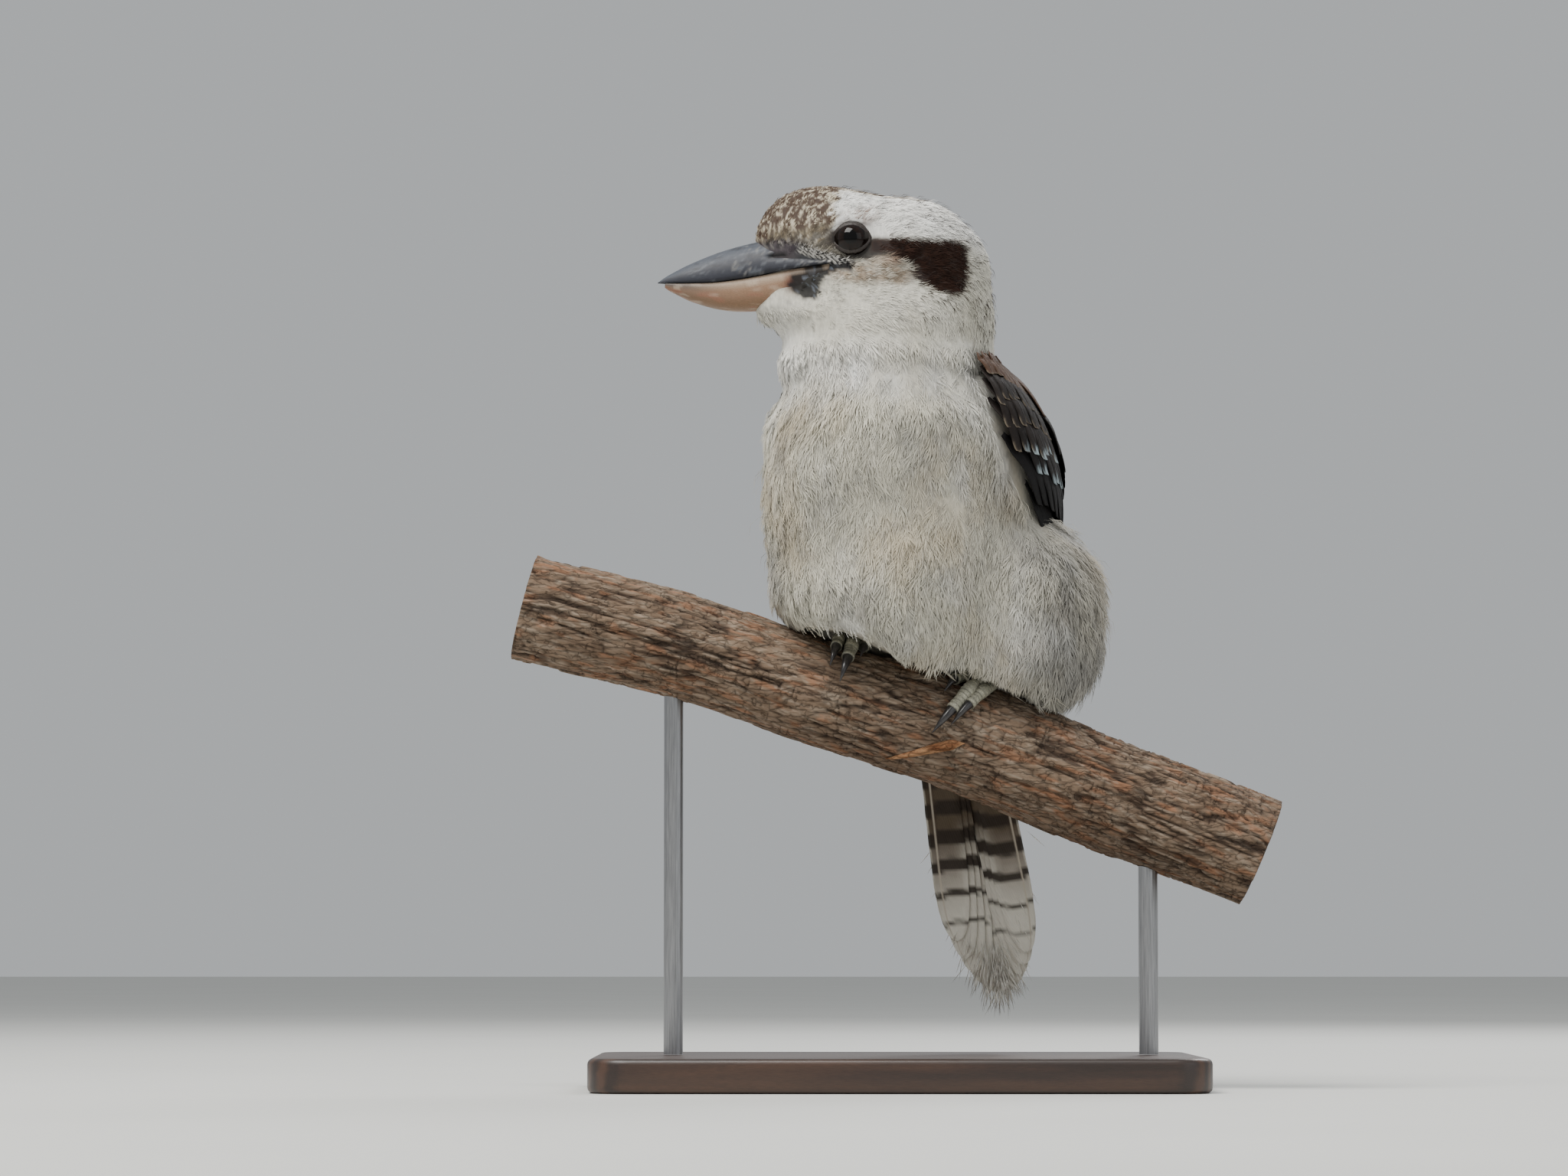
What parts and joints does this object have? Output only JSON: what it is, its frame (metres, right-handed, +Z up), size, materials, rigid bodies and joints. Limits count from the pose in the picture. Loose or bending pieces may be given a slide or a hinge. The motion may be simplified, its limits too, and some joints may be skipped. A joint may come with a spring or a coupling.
{
  "type": "laughing kookaburra model",
  "caption": "Life-size kookaburra sitting upright on a short cut branch, head turned to its right, on a flat base with two rods.",
  "frame": {"origin": "middle of the display base's underside, which is the middle of the whole model's footprint", "axes": "+Z up; the picture's viewer is at -Y; +X is the picture's right, where the branch falls and the tail hangs; the breast faces -Y and 38 degrees towards -X, and the bill points to -X"},
  "size_m": [0.3188, 0.166, 0.374],
  "materials": {
    "white_plumage": "soft feathers",
    "dark_plumage": "smooth feathers",
    "barred_plumage": "smooth feathers",
    "upper_bill": "satin horn",
    "lower_bill": "satin horn",
    "eye": "wet gloss",
    "scales": "scaly skin",
    "claw": "horn",
    "bark": "rough bark",
    "stand_wood": "dark satin",
    "stand_metal": "satin"
  },
  "bodies": {
    "root": {"stand_base": "stand_wood", "stand_rod_left": "stand_metal", "stand_rod_right": "stand_metal", "perch": "bark", "torso": "white_plumage", "neck": "white_plumage", "head": "white_plumage", "bill_upper": "upper_bill", "bill_lower": "lower_bill", "tail": "barred_plumage", "eye_left": "eye", "eye_right": "eye", "wing_left": "dark_plumage", "wing_right": "dark_plumage", "foot_left": "scales", "foot_right": "scales", "claw_left_inner": "claw", "claw_left_middle": "claw", "claw_left_outer": "claw", "claw_left_hind": "claw", "claw_right_inner": "claw", "claw_right_middle": "claw", "claw_right_outer": "claw", "claw_right_hind": "claw"}
  },
  "joints": []
}
